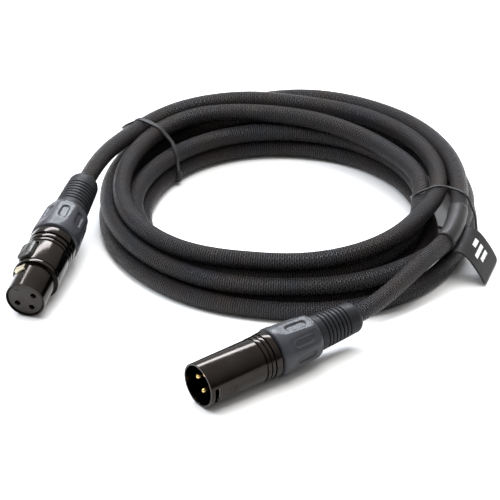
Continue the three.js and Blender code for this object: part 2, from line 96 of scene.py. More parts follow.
# Each turn runs clockwise from above, from the left round the back. (degrees, radius, height)
TURNS = [
    [(140, 80.2, 17.9), (120, 78.6, 17.7), (103, 75.2, 17.8), (86, 69.3, 18.4), (68, 67.0, 18.5),
     (45, 66.5, 18.5), (20, 65.2, 18.7), (9, 64.2, 18.9), (-4, 62.6, 19.6), (-20, 60.6, 19.9),
     (-45, 59.8, 19.4), (-75, 59.3, 18.7), (-106, 59.4, 18.4), (-135, 66.5, 17.8), (-160, 70.4, 17.3)],
    [(-174, 71.2, 17.0), (-200, 72.0, 17.6), (-223, 72.8, 18.0), (-234, 72.1, 18.3), (-249, 66.0, 18.5),
     (-262, 60.8, 18.5), (-275, 57.3, 18.5), (-293, 54.4, 18.2), (-304, 53.4, 17.7), (-324, 52.6, 17.5),
     (-350, 56.0, 17.6), (-362, 57.0, 16.6), (-380, 58.0, 13.6), (-405, 59.0, 11.4), (-450, 59.0, 11.1),
     (-495, 63.4, 11.1)],
    [(-540, 66.4, 11.1), (-585, 61.6, 11.1), (-635, 56.9, 11.1), (-675, 56.4, 11.1), (-711, 57.0, 11.0),
     (-740, 57.6, 8.2), (-765, 57.8, 4.3), (-810, 57.6, 3.7), (-855, 60.2, 3.7)],
    [(-900, 62.6, 3.7), (-945, 61.0, 3.7), (-995, 56.2, 3.7), (-1035, 55.8, 3.7), (-1080, 57.4, 3.7),
     (-1100, 61.0, 3.7), (-1125, 66.0, 3.7), (-1170, 65.2, 3.7), (-1215, 67.8, 3.7)],
    [(-1260, 70.0, 3.7), (-1305, 70.6, 3.7), (-1350, 69.4, 3.7), (-1395, 72.6, 3.7), (-1440, 76.5, 3.7),
     (-1468, 75.6, 3.7), (-1482, 76.6, 3.7), (-1495, 77.0, 3.7), (-1520, 74.6, 3.7), (-1543, 72.7, 3.7),
     (-1575, 75.2, 3.7)],
    [(-1620, 77.3, 3.7), (-1640, 77.3, 3.8), (-1665, 76.6, 4.6), (-1685, 74.8, 8.0), (-1700, 73.0, 10.6),
     (-1712, 72.0, 11.1), (-1755, 73.5, 11.1), (-1800, 75.4, 11.1), (-1828, 73.4, 11.1),
     (-1845, 70.2, 11.1), (-1890, 66.2, 11.1), (-1935, 71.6, 11.1)],
    [(-1980, 76.9, 11.1), (-2000, 78.2, 11.1), (-2025, 79.6, 11.3), (-2045, 79.4, 11.7),
     (-2057, 78.8, 13.8), (-2070, 76.2, 17.0), (-2082, 74.4, 18.4), (-2115, 74.0, 18.5),
     (-2140, 72.8, 18.5), (-2151, 72.2, 18.5), (-2160, 72.0, 18.5)],
]


def unit(v):
    v = np.array(v, float)
    return v / np.linalg.norm(v)


def along(at, axis, s):
    return np.array(at) + unit(axis) * s


def evenly(points, step):
    """The same line with its points a step apart."""
    points = np.array(points)
    run = np.r_[0, np.cumsum(np.linalg.norm(np.diff(points, axis=0), axis=1))]
    at = np.linspace(0, run[-1], int(round(run[-1] / step)) + 1)
    return np.stack([np.interp(at, run, points[:, k]) for k in range(3)], 1)


def eased_line(points, width):
    """Rounds a line's corners with a bell-shaped average, its ends held."""
    reach = int(math.ceil(width * 3))
    bell = np.exp(-0.5 * (np.arange(-reach, reach + 1) / width) ** 2)
    bell /= bell.sum()
    head = 2 * points[0] - points[reach:0:-1]
    tail = 2 * points[-1] - points[-2:-reach - 2:-1]
    longer = np.vstack([head, points, tail])
    return np.stack([np.convolve(longer[:, k], bell, "valid") for k in range(points.shape[1])], 1)


def settled(points, rounds):
    """Moves strands that lie in one another, or in the floor, apart."""
    first, count = points.copy(), len(points)
    apart = 2 * CABLE_R + STRAND_GAP
    index = np.arange(count)
    near = np.abs(index[:, None] - index[None, :]) <= NEAR_POINTS
    hold = np.minimum(1, np.minimum(index, count - 1 - index) / HELD_POINTS)
    hold = np.clip((hold - 0.6) / 0.4, 0, 1)[:, None]
    for _ in range(rounds):
        gap = points[:, None, :] - points[None, :, :]
        far = np.sqrt((gap ** 2).sum(2)) + 1e-9
        push = np.where(near | (far >= apart), 0, (apart - far) / far)
        move = (gap * push[:, :, None]).sum(1) * PUSH_SHARE
        move += (first - points) * PULL_BACK
        move[:, 2] += np.maximum(0, CABLE_R - points[:, 2])
        move = eased_line(move, 1.6)
        points = points + move * hold
        points[:, 2] = np.maximum(points[:, 2], CABLE_R)
    return points


def cable_line():
    ends = [along(SOCKET_AT, SOCKET_AXIS, s) for s in (40, 55, 70, 78)]
    line = ends + [np.array(p) for p in SOCKET_TAIL[:3]]
    knots = [k for turn in TURNS for k in turn]
    degrees, radius, height = (np.array([k[i] for k in knots], float) for i in range(3))
    clock = np.arange(140, -2160.1, -2.0)
    r = np.interp(-clock, -degrees, radius)
    z = np.interp(-clock, -degrees, height)
    a = np.radians(clock)
    line += list(np.stack([r * np.cos(a), r * np.sin(a), z], 1))
    line += [np.array(p) for p in reversed(PLUG_TAIL)]
    line += [along(PLUG_AT, PLUG_AXIS, s) for s in (78, 70, 62, 54)]
    line = eased_line(evenly(line, STEP), 2.2)
    line = settled(evenly(line, STEP), FULL_ROUNDS)
    line = eased_line(line, 1.5)
    line[:, 2] = np.maximum(line[:, 2], CABLE_R)
    return evenly(line, 1.5) + COIL


# ---- meshes ----

def add(name, mesh, body="cable_set"):
    obj = bpy.data.objects.new(name, mesh)
    bpy.context.scene.collection.objects.link(obj)
    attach(obj, body)
    return obj


def smooth(mesh, degrees=35):
    for face in mesh.polygons:
        face.use_smooth = True
    mesh.set_sharp_from_angle(angle=math.radians(degrees))


def sides_of(points):
    """Two directions square to the line at every point, with no twist between them."""
    ahead = np.gradient(points, axis=0)
    ahead /= np.linalg.norm(ahead, axis=1)[:, None]
    start = np.array([0.0, 0.0, 1.0]) if abs(ahead[0][2]) < 0.9 else np.array([1.0, 0.0, 0.0])
    across = []
    for a in ahead:
        start = start - a * start.dot(a)
        start = start / np.linalg.norm(start)
        across.append(start)
    across = np.array(across)
    return across, np.cross(ahead, across)


def tube(name, points, radius, sides=24, body="cable_set", closed=False, caps=True):
    """A round tube along points in millimetres; its UV runs round and along it."""
    points = np.array(points, float)
    up, out = sides_of(points)
    steps = np.linalg.norm(np.diff(points, axis=0), axis=1)
    run = np.r_[0, np.cumsum(steps), steps.sum() + np.linalg.norm(points[0] - points[-1])]
    turn = np.arange(sides) * 2 * math.pi / sides
    rings = points[:, None, :] + radius * (
        up[:, None, :] * np.cos(turn)[None, :, None] + out[:, None, :] * np.sin(turn)[None, :, None])
    count = len(points)
    slips = [np.linalg.norm(np.roll(rings[0], -k, axis=0) - rings[-1], axis=1).sum() for k in range(sides)]
    slip = int(np.argmin(slips))
    faces, uvs = [], []
    for i in range(count if closed else count - 1):
        on, shift = ((i + 1), 0) if i + 1 < count else (0, slip)
        for k in range(sides):
            n = (k + 1) % sides
            faces.append((i * sides + k, i * sides + n, on * sides + (n + shift) % sides,
                          on * sides + (k + shift) % sides))
            a, b = k / sides, (k + 1) / sides
            uvs += [(a, run[i] * MM), (b, run[i] * MM), (b, run[i + 1] * MM), (a, run[i + 1] * MM)]
    if caps and not closed:
        faces.append(tuple(range(sides))[::-1])
        faces.append(tuple((count - 1) * sides + k for k in range(sides)))
        uvs += [(0, 0)] * (2 * sides)
    mesh = bpy.data.meshes.new(name)
    mesh.from_pydata([tuple(v) for v in rings.reshape(-1, 3) * MM], [], faces)
    layer = mesh.uv_layers.new(name="length")
    layer.data.foreach_set("uv", np.array(uvs, np.float32).ravel())
    fix_normals(mesh)
    smooth(mesh, 60)
    return add(name, mesh, body)


def fix_normals(mesh):
    bm = bmesh.new()
    bm.from_mesh(mesh)
    bmesh.ops.recalc_face_normals(bm, faces=bm.faces)
    bm.to_mesh(mesh)
    bm.free()


def eased(outline, radius=0.22, closed=True):
    """An outline with every corner rounded a little."""
    made, count = [], len(outline)
    for i, p in enumerate(outline):
        if not closed and i in (0, count - 1):
            made.append(tuple(p))
            continue
        here = np.array(p, float)
        back, on = np.array(outline[i - 1], float) - here, np.array(outline[(i + 1) % count], float) - here
        lb, lo = np.linalg.norm(back), np.linalg.norm(on)
        cosine = float(back.dot(on) / (lb * lo))
        if cosine < -0.97:
            made.append(tuple(p))
            continue
        reach = min(radius, lb * 0.42, lo * 0.42)
        a, b = here + back / lb * reach, here + on / lo * reach
        for t in (0, 0.33, 0.67, 1):
            q = a * (1 - t) ** 2 + here * 2 * t * (1 - t) + b * t * t
            made.append(tuple(q))
    return made


def spun(outline, steps=96, radius=0.22):
    """A closed outline of (radius, length) pairs turned round Y, as a bmesh."""
    bm = bmesh.new()
    ring = [bm.verts.new((r, s, 0)) for r, s in eased(outline, radius)]
    edges = [bm.edges.new((a, b)) for a, b in zip(ring, ring[1:] + ring[:1])]
    bmesh.ops.spin(bm, geom=ring + edges, cent=(0, 0, 0), axis=(0, 1, 0), dvec=(0, 0, 0),
                   angle=2 * math.pi, steps=steps, use_merge=True, use_duplicate=False)
    bmesh.ops.remove_doubles(bm, verts=bm.verts, dist=0.0005)
    bmesh.ops.recalc_face_normals(bm, faces=bm.faces)
    return bm


def box_mesh(low, high, bevel=0.0):
    bm = bmesh.new()
    bmesh.ops.create_cube(bm, size=1)
    low, high = Vector(low), Vector(high)
    for v in bm.verts:
        v.co = Vector([low[i] + (v.co[i] + 0.5) * (high[i] - low[i]) for i in range(3)])
    if bevel:
        bmesh.ops.bevel(bm, geom=list(bm.edges), offset=bevel, segments=4, profile=0.5,
                        affect="EDGES", material=-1)
    return bm


def seat(at, axis, latch):
    """From a connector's own millimetres to the part's metres."""
    y = Vector(axis).normalized()
    x = Vector(latch)
    x = (x - y * x.dot(y)).normalized()
    z = x.cross(y)
    turn = Matrix((x, y, z)).transposed().to_4x4()
    place = Matrix.Translation(Vector(at) + Vector(COIL))
    return Matrix.Scale(MM, 4) @ place @ turn


SEATS = {
    "plug": seat(PLUG_AT, PLUG_AXIS, PLUG_LATCH),
    "socket": seat(SOCKET_AT, SOCKET_AXIS, SOCKET_LATCH),
}


def mesh_of(name, bm):
    mesh = bpy.data.meshes.new(name)
    bm.to_mesh(mesh)
    bm.free()
    return mesh


def place(name, bm, side, body="cable_set", tools=(), degrees=32):
    """Puts a bmesh made in a connector's own millimetres on the part, with the tools cut out of it."""
    mesh = mesh_of(name, bm)
    if tools:
        work = bpy.data.objects.new(name + "_work", mesh)
        bpy.context.scene.collection.objects.link(work)
        cutters = []
        for i, tool in enumerate(tools):
            cutter = bpy.data.objects.new(f"{name}_cutter_{i}", mesh_of("cutter", tool))
            bpy.context.scene.collection.objects.link(cutter)
            cutters.append(cutter)
            cut = work.modifiers.new(f"cut_{i}", "BOOLEAN")
            cut.operation, cut.solver, cut.object = "DIFFERENCE", "EXACT", cutter
        bpy.context.view_layer.update()
        done = work.evaluated_get(bpy.context.evaluated_depsgraph_get())
        mesh = bpy.data.meshes.new_from_object(done)
        mesh.name = name
        for o in [work, *cutters]:
            bpy.data.objects.remove(o)
    mesh.transform(SEATS[side])
    smooth(mesh, degrees)
    return add(name, mesh, body)


# ---- shaders ----

class S:
    """A shader socket that takes part in sums."""

    def __init__(self, tree, socket):
        self.tree, self.socket = tree, socket

    def _math(self, kind, *others):
        return node(self.tree, "ShaderNodeMath", {"operation": kind}, {i: o for i, o in enumerate(others)})

    def __add__(self, o):
        return self._math("ADD", self, o)

    def __radd__(self, o):
        return self._math("ADD", o, self)

    def __sub__(self, o):
        return self._math("SUBTRACT", self, o)

    def __rsub__(self, o):
        return self._math("SUBTRACT", o, self)

    def __mul__(self, o):
        return self._math("MULTIPLY", self, o)

    def __rmul__(self, o):
        return self._math("MULTIPLY", o, self)

    def sin(self):
        return self._math("SINE", self)

    def abs(self):
        return self._math("ABSOLUTE", self)

    def power(self, o):
        return self._math("POWER", self, o)

    def above(self, o):
        return self._math("GREATER_THAN", self, o)

    def below(self, o):
        return self._math("LESS_THAN", self, o)

    def fract(self):
        return self._math("FRACT", self)

    def floor(self):
        return self._math("FLOOR", self)

    def clamp(self, low, high, to_low=0.0, to_high=1.0):
        return node(self.tree, "ShaderNodeMapRange", {"clamp": True},
                    {0: self, 1: low, 2: high, 3: to_low, 4: to_high})


def node(tree, kind, settings=None, inputs=None, output=0):
    """Adds a node, sets it and wires it, and gives back one of its outputs."""
    made = tree.nodes.new(kind)
    for key, value in (settings or {}).items():
        setattr(made, key, value)
    for key, value in (inputs or {}).items():
        if isinstance(value, S):
            tree.links.new(value.socket, made.inputs[key])
        else:
            made.inputs[key].default_value = value
    return S(tree, made.outputs[output])


def blend_colour(tree, amount, one, two):
    made = tree.nodes.new("ShaderNodeMix")
    made.data_type = "RGBA"
    for index, value in ((0, amount), (6, one), (7, two)):
        if isinstance(value, S):
            tree.links.new(value.socket, made.inputs[index])
        else:
            made.inputs[index].default_value = value if index == 0 else (*value, 1)
    return S(tree, made.outputs[2])


def finish_of(name, colour, rough, metal=0.0, bump=None, height=0.001, strength=0.3, **more):
    """A material with one main shader; colour, rough and bump can each be a socket maker."""
    material = bpy.data.materials.new(name)
    material.use_nodes = True
    tree = material.node_tree
    main = tree.nodes["Principled BSDF"]
    given = {"Base Color": colour, "Roughness": rough, "Metallic": metal, **more}
    for key, value in given.items():
        value = value(tree) if callable(value) else value
        if isinstance(value, S):
            tree.links.new(value.socket, main.inputs[key])
        elif isinstance(value, tuple) and len(value) == 3:
            main.inputs[key].default_value = (*value, 1)
        else:
            main.inputs[key].default_value = value
    if bump:
        lifted = node(tree, "ShaderNodeBump", {},
                      {"Strength": strength, "Distance": height, "Height": bump(tree)})
        tree.links.new(lifted.socket, main.inputs["Normal"])
    return material


def across_and_along(tree, layer):
    """The two numbers of a UV layer."""
    uv = node(tree, "ShaderNodeUVMap", {"uv_map": layer})
    parts = tree.nodes.new("ShaderNodeSeparateXYZ")
    tree.links.new(uv.socket, parts.inputs[0])
    return S(tree, parts.outputs[0]), S(tree, parts.outputs[1])


def cloud(tree, scale, detail=3.0, rough=0.55):
    where = node(tree, "ShaderNodeTexCoord", output=3)
    return node(tree, "ShaderNodeTexNoise", {}, {"Vector": where, "Scale": scale, "Detail": detail,
                                                 "Roughness": rough})


def yarns(tree, count=12.0):
    """A plain braid of two opposed families of yarn: the pick's crown, and which family is on top."""
    around, length = across_and_along(tree, "length")
    pitch = 0.5 / (RIB_PITCH * MM)
    one = around * count + length * pitch
    two = around * count - length * pitch
    left_on_top = ((one.floor() + two.floor()) * 0.5).fract().above(0.25)
    across_one = (one * math.pi).sin().abs()
    across_two = (two * math.pi).sin().abs()
    left = across_one.power(0.75) * across_two.power(0.35)
    right = across_two.power(0.75) * across_one.power(0.35)
    crown = left_on_top * left + (1 - left_on_top) * right
    strands = left_on_top * (one * (8 * math.pi)).sin() + (1 - left_on_top) * (two * (8 * math.pi)).sin()
    return crown, strands, left_on_top


def ribs(tree):
    """The rows of picks, which read as fine rings round the cable."""
    _, length = across_and_along(tree, "length")
    return (length * (math.pi / (RIB_PITCH * MM))).sin().abs().power(0.8)


def braid_height(tree):
    crown, strands, _ = yarns(tree)
    return ribs(tree) + crown * 0.5 + strands * 0.04 + cloud(tree, 2600.0, 2.0) * 0.06


def braid_colour(tree):
    crown, strands, left_on_top = yarns(tree)
    wear = cloud(tree, 55.0, 3.0)
    # Painted shade: the grooves between the rows of picks and the dips beside each yarn's crown are painted
    # down towards near-black. The warm and cool tints vary at random.
    weave_shade = (ribs(tree) * 0.75 + crown * 0.25).clamp(0.2, 0.9, 0.03, 1.15) * (0.88 + 0.12 * left_on_top)
    cool = blend_colour(tree, wear.clamp(0.35, 0.65), BRAID_WARM, BRAID_COOL)
    return blend_colour(tree, weave_shade * (0.94 + 0.06 * strands), BRAID_WEAVE_SHADE, cool)


def thread_height(tree):
    """The plies of the waxed cord, which wind round it."""
    around, length = across_and_along(tree, "length")
    return ((around * 2 + length * PLIES_PER_METRE) * math.pi).sin().abs()


def flag_colour(tree):
    """Charcoal film with a printed mark: three level bars of different lengths."""
    wide, down = across_and_along(tree, "sheet")
    printed = 0.0
    for middle, length in BARS:
        beside = (wide - BAR_START - length / 2).abs().below(length / 2)
        printed = printed + (down - middle).abs().below(BAR_HALF) * beside
    film = blend_colour(tree, cloud(tree, 160.0, 4.0).clamp(0.35, 0.65), FLAG_DARK, FLAG_LIGHT)
    worn = cloud(tree, 900.0, 3.0).clamp(0.3, 0.45, 0.55, 1.0)
    return blend_colour(tree, printed * worn, film, FLAG_PRINT)


def scuffed(low, high, scale=320.0):
    return lambda tree: cloud(tree, scale, 4.0).clamp(0.35, 0.7, low, high)


def tinted(one, two, scale=90.0):
    return lambda tree: blend_colour(tree, cloud(tree, scale, 4.0).clamp(0.35, 0.65), one, two)


BRAID_WARM = (0.0262, 0.0196, 0.0168)
BRAID_COOL = (0.0187, 0.0187, 0.0232)
# Near-black, for the painted shade in the grooves of the weave.
BRAID_WEAVE_SHADE = (0.0006, 0.0006, 0.0008)
PLIES_PER_METRE = 700
FLAG_DARK = (0.012, 0.0115, 0.012)
FLAG_LIGHT = (0.016, 0.0155, 0.016)
FLAG_PRINT = (0.62, 0.62, 0.63)
# The printed bars, in shares of the flag: (middle, length) of each, their start and half their width.
BARS = ((0.34, 0.26), (0.49, 0.46), (0.64, 0.36))
BAR_START = 0.27
BAR_HALF = 0.045

BRAID = finish_of("woven_braid", braid_colour, scuffed(0.34, 0.46), bump=braid_height, height=0.0009,
                  strength=1.0, **{"Specular IOR Level": 0.34})
CHROME = finish_of("black_chrome", tinted((0.024, 0.0205, 0.0185), (0.031, 0.027, 0.0245)),
                   scuffed(0.13, 0.18), 1.0)
PLASTIC = finish_of("satin_nut_plastic", tinted((0.0205, 0.021, 0.0255), (0.026, 0.027, 0.0325)),
                    scuffed(0.32, 0.42), bump=lambda t: cloud(t, 1500.0), height=0.00003, strength=0.3,
                    **{"Specular IOR Level": 0.28})
RUBBER = finish_of("relief_rubber", tinted((0.0085, 0.0088, 0.0105), (0.012, 0.0125, 0.0145)),
                   scuffed(0.42, 0.56), bump=lambda t: cloud(t, 1800.0), height=0.00004, strength=0.4,
                   **{"Specular IOR Level": 0.16})
GOLD = finish_of("contact_gold", tinted((0.8, 0.56, 0.22), (0.88, 0.64, 0.28)), scuffed(0.16, 0.26), 1.0)
INSERT = finish_of("insert_plastic", tinted((0.031, 0.027, 0.0245), (0.042, 0.037, 0.034)),
                   scuffed(0.42, 0.58), **{"Specular IOR Level": 0.2})
STEEL = finish_of("latch_steel", tinted((0.5, 0.44, 0.32), (0.62, 0.56, 0.43)), scuffed(0.24, 0.36), 1.0)
BUTTON = finish_of("button_plastic", tinted((0.02, 0.02, 0.017), (0.028, 0.027, 0.023)), scuffed(0.3, 0.42))
THREAD = finish_of("waxed_thread", (0.012, 0.012, 0.013), scuffed(0.34, 0.5), bump=thread_height,
                   height=0.00012, strength=0.6)
FILM = finish_of("label_film", tinted((0.013, 0.012, 0.0125), (0.017, 0.0155, 0.0165)), scuffed(0.4, 0.5),
                 **{"Specular IOR Level": 0.2})
FLAG = finish_of("label_flag_print", flag_colour, scuffed(0.42, 0.54), **{"Specular IOR Level": 0.15})


def dress(obj, *materials, slot=None):
    for m in materials:
        obj.data.materials.append(m)
    return obj


# ---- the cable ----
LINE = cable_line()
cable = dress(tube("cable", LINE, CABLE_R), BRAID, slot="braid")
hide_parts("cable_coil", "cable_plug_tail", "cable_socket_tail")


# ---- the parts that both connectors have ----

PIN_CIRCLE = 4.4
FLATS = 8
RECESS_HALF = 2.0
RECESS_DEEP = 0.55
RECESS_WALL = 0.8


def nut(side, start, end):
    """The screw-down nut: a smooth skirt, eight tapered flats with a finger recess each, a shoulder."""
    flats_from, shoulder = start + 2.7, end - 3.0
    rise = [(9.3, start), (10.3, start + 0.5), (10.5, start + 0.9), (10.5, flats_from)]
    grip = [(10.55 - 0.85 * t, flats_from + (shoulder - flats_from) * t) for t in np.linspace(0.02, 1, 62)]
    drop = [(9.45, end - 1.9), (8.9, end - 0.7), (8.2, end)]
    bore = [(4.2, end), (4.2, end - 2), (7.2, end - 2.8), (7.2, start + 5.6), (8.9, start + 6.2),
            (8.9, start)]
    bm = spun(rise + grip + drop + bore, 240, 0.18)
    low, high = start + 6.6 + RECESS_HALF, shoulder - 0.9 - RECESS_HALF
    for v in bm.verts:
        r, s = math.hypot(v.co.x, v.co.z), v.co.y
        if r < 8.95 or s < flats_from:
            continue
        wedge = 2 * math.pi / FLATS
        turn = (math.atan2(v.co.z, v.co.x) + wedge / 2) % wedge - wedge / 2
        apothem = float(np.interp(s, (flats_from, flats_from + 3.2, shoulder, end), (10.5, 10.0, 9.15, 8.7)))
        new = min(r, apothem / math.cos(turn))
        beside = math.hypot(new * math.sin(turn), s - min(max(s, low), high))
        wall = min(1.0, max(0.0, (RECESS_HALF - beside) / RECESS_WALL))
        new -= RECESS_DEEP * wall * wall * (3 - 2 * wall)
        v.co.x *= new / r
        v.co.z *= new / r
    obj = place(f"{side}_nut_skin", bm, side, f"{side}_nut_screw", degrees=24)
    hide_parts(f"{side}_nut")
    return dress(obj, PLASTIC, slot="nut_plastic")


RELIEF_GROOVES = 7
PLUG_RELIEF_END = 79.5


def relief(side, start, end):
    """The rubber strain relief: a smooth band, thin bending grooves, a rounded end."""
    pitch = (end - 5.3 - start - 3.4) / RELIEF_GROOVES
    outline = [(4.3, start), (7.3, start), (7.6, start + 0.35)]
    for i in range(RELIEF_GROOVES):
        s = start + 3.4 + i * pitch
        r = 7.6 - 1.15 * (s - start) / (end - start)
        outline += [(r, s), (r - 0.85, s + 0.08), (r - 0.85, s + 0.46), (r, s + 0.54)]
    outline += [(6.5, end - 1.9), (6.1, end - 0.8), (5.3, end), (4.75, end), (4.3, end - 5.0)]
    obj = place(f"{side}_relief_skin", spun(outline, 96, 0.2), side, f"{side}_relief_slider")
    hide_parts(f"{side}_relief")
    return dress(obj, RUBBER, slot="relief_rubber")


nut("plug", 36.0, 57.2)
relief("plug", 57.5, PLUG_RELIEF_END)
socket_parts = [nut("socket", 37.6, 56.9), relief("socket", 57.2, 79.0)]


# ---- the plug ----

def plug_shell():
    outline = [(8.6, 0.0), (9.5, 0.0), (9.5, 27.8), (9.0, 27.8), (9.0, 28.3), (9.65, 28.3), (9.65, 30.0),
               (9.0, 30.0), (9.0, 30.5), (9.65, 30.5), (9.65, 32.0), (9.0, 32.0), (9.0, 32.5), (9.9, 32.5),
               (9.9, 35.3), (8.5, 35.3), (8.5, 40.9), (7.2, 40.9), (7.2, 30.5), (8.0, 30.0), (8.0, 17.0),
               (8.6, 17.0)]
    window = box_mesh((7, 1.8, -3.6), (11, 4.2, 3.6), 0.5)
    recess = box_mesh((9.12, 4.9, -3.9), (11, 12.2, 3.9), 0.55)
    obj = place("plug_shell_skin", spun(outline, 128, 0.2), "plug", tools=(window, recess))
    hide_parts("plug_shell")
    return dress(obj, CHROME, slot="black_chrome")


def plug_pins():
    for i in (1, 2, 3):
        turn = i * math.pi / 2
        outline = [(0.0, 2.5), (0.5, 2.56), (0.9, 2.85), (1.12, 3.35), (1.2, 4.0), (1.2, 33.2), (0.0, 33.2)]
        bm = bmesh.new()
        ring = [bm.verts.new((r, s, 0)) for r, s in outline]
        edges = [bm.edges.new((a, b)) for a, b in zip(ring, ring[1:])]
        bmesh.ops.spin(bm, geom=ring + edges, cent=(0, 0, 0), axis=(0, 1, 0), dvec=(0, 0, 0),
                       angle=2 * math.pi, steps=32, use_merge=True, use_duplicate=False)
        bmesh.ops.remove_doubles(bm, verts=bm.verts, dist=0.0005)
        bmesh.ops.recalc_face_normals(bm, faces=bm.faces)
        beside = (PIN_CIRCLE * math.cos(turn), 0, PIN_CIRCLE * math.sin(turn))
        bmesh.ops.translate(bm, verts=bm.verts, vec=beside)
        obj = place(f"plug_pin_skin_{i}", bm, "plug")
        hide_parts(f"plug_pin_{i}")
        dress(obj, GOLD, slot="contact_gold")


plug_shell()
plug_pins()


# ---- the socket ----

def socket_shell():
    outline = [(7.8, 0.0), (8.45, 0.0), (8.45, 13.6), (9.9, 13.6), (9.9, 15.4), (9.1, 15.4), (9.1, 16.0),
               (9.75, 16.0), (9.75, 28.0), (9.1, 28.0), (9.1, 28.4), (9.85, 28.4), (9.85, 29.8), (9.1, 29.8),
               (9.1, 30.6), (9.85, 30.6), (9.85, 32.4), (9.1, 32.4), (9.1, 33.4), (9.95, 33.4), (9.95, 36.8),
               (8.5, 36.8), (8.5, 42.4), (7.2, 42.4), (7.2, 28.0), (7.8, 27.4)]
    window = box_mesh((6, 9.0, -3.1), (12, 12.9, 3.1), 0.4)
    slot = box_mesh((6, 16.6, -4.2), (12, 26.8, 4.2), 1.2)
    obj = place("socket_shell_skin", spun(outline, 128, 0.2), "socket", tools=(window, slot))
    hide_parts("socket_shell")
    return dress(obj, CHROME, slot="black_chrome")


def socket_button():
    """The thumb button: a low pad with round corners and a softly domed top."""
    bm = box_mesh((9.05, 21.6 - 4.7, -3.8), (10.6, 21.6 + 4.7, 3.8))
    upright = [e for e in bm.edges if abs(e.verts[0].co.x - e.verts[1].co.x) > 1]
    bmesh.ops.bevel(bm, geom=upright, offset=2.0, segments=8, profile=0.5, affect="EDGES", material=-1)
    top = [f for f in bm.faces if f.calc_center_median().x > 10.5]
    for grow, lift in ((0.35, 0.28), (0.5, 0.24), (0.9, 0.2), (0.9, 0.07)):
        bmesh.ops.inset_region(bm, faces=top, thickness=grow, depth=lift)
    bmesh.ops.recalc_face_normals(bm, faces=bm.faces)
    obj = place("socket_button_skin", bm, "socket", "socket_latch", degrees=50)
    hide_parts("socket_latch_button")
    return dress(obj, BUTTON, slot="button_plastic")


def post(x, z, radius, low, high, sides=32):
    """A plain round cutter standing along the connector's length."""
    bm = bmesh.new()
    stand = Matrix.Translation((x, (low + high) / 2, z)) @ Matrix.Rotation(math.pi / 2, 4, "X")
    bmesh.ops.create_cone(bm, cap_ends=True, segments=sides, radius1=radius, radius2=radius,
                          depth=high - low, matrix=stand)
    return bm


def socket_insert():
    """The insert: a face with three small lead-in holes, wider bores behind, and the keyway's V."""
    outline = [(0.01, 0.5), (7.5, 0.5), (7.5, 27.0), (0.01, 27.0)]
    tools = []
    for i in (1, 2, 3):
        turn = i * math.pi / 2
        x, z = PIN_CIRCLE * math.cos(turn), PIN_CIRCLE * math.sin(turn)
        tools += [post(x, z, 1.3, 0.2, 1.4), post(x, z, 2.0, 1.1, 27.4)]
    tools.append(box_mesh((5.2, 8.2, -3.4), (9.0, 28.0, 3.4)))
    for lean in (-0.6, 0.6):
        stroke = box_mesh((4.9, 0.2, -0.16), (7.3, 0.8, 0.16))
        bmesh.ops.rotate(stroke, verts=stroke.verts, cent=(4.9, 0, 0), matrix=Matrix.Rotation(lean, 3, "Y"))
        tools.append(stroke)
    obj = place("socket_insert_skin", spun(outline, 96, 0.3), "socket", tools=tools)
    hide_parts("socket_insulator")
    return dress(obj, INSERT, slot="insulator")


socket_parts += [socket_shell(), socket_button(), socket_insert()]


# ---- ties and label ----

def polar(degrees, r, z):
    a = math.radians(degrees)
    return np.array([r * math.cos(a), r * math.sin(a), z]) + COIL


def through(stops, closed=True, per=9):
    """A smooth line through (radius, height, degrees) stops."""
    knots = np.array([polar(d, r, z) for r, z, d in stops])
    count = len(knots)
    made = []
    for i in range(count if closed else count - 1):
        pick = [(i + k) % count if closed else min(max(i + k, 0), count - 1) for k in (-1, 0, 1, 2)]
        a, b, c, d = knots[pick]
        for t in np.arange(per) / per:
            made.append(0.5 * (2 * b + (c - a) * t + (2 * a - 5 * b + 4 * c - d) * t * t
                               + (3 * b - a - 3 * c + d) * t ** 3))
    if not closed:
        made.append(knots[-1])
    return np.array(made)


THREAD_R = 0.48
BITE = 0.12
LEFT_LEAN = [(-180, 145.6), (-120, 146.0), (-60, 143.4), (0, 142.6), (60, 142.4), (100, 142.0), (140, 142.2),
             (180, 145.6)]
RIGHT_LEAN = [(-180, 1.0), (-120, -1.0), (-60, -6.0), (-20, -11.0), (30, -10.4), (60, -8.0), (85, -6.8),
              (120, -9.0), (150, -9.4), (180, 1.0)]


# The end loop of the left tie: (radius, height, degrees).
LOOP_END = [(81.6, 22.0, 144.4), (84.3, 20.4, 145.6), (86.8, 17.9, 145.4), (87.3, 16.8, 143.6),
            (86.4, 17.2, 141.6), (84.9, 18.4, 141.4), (83.4, 20.6, 142.2)]


def bundle_at(degrees):
    """Where the cable passes through one radial plane, as (radius, height) pairs."""
    flat = LINE - COIL
    c, s = math.cos(math.radians(degrees)), math.sin(math.radians(degrees))
    beside = flat[:, 1] * c - flat[:, 0] * s
    ahead = flat[:, 0] * c + flat[:, 1] * s
    passes = [i for i in range(len(flat) - 1) if beside[i] * beside[i + 1] <= 0 and ahead[i] > 20]
    return np.array([(ahead[i], flat[i, 2]) for i in passes])


def taut_loop(lean, slack=0.0, aside=0.0, samples=120):
    """A loop of thread pulled round the bundle, leaning a little as it goes round."""
    reach = CABLE_R + THREAD_R - BITE
    middle = bundle_at(lean[3][1]).mean(0)
    turns = np.linspace(-180, 180, samples, endpoint=False)
    leans = np.interp(turns, [k[0] for k in lean], [k[1] for k in lean])
    made = []
    for turn, degrees in zip(turns, leans):
        way = np.array([math.cos(math.radians(turn)), math.sin(math.radians(turn))])
        far = taut_reach(bundle_at(degrees) - middle, way, reach)
        loose = slack * max(0.0, way[0]) * max(0.0, 1 - abs(way[1]))
        made.append((*(middle + way * (far + loose)), degrees + aside))
    made = np.array([polar(d, r, max(z, THREAD_R)) for r, z, d in made])
    longer = np.vstack([made, made, made])
    return eased_line(longer, 1.6)[samples:2 * samples]


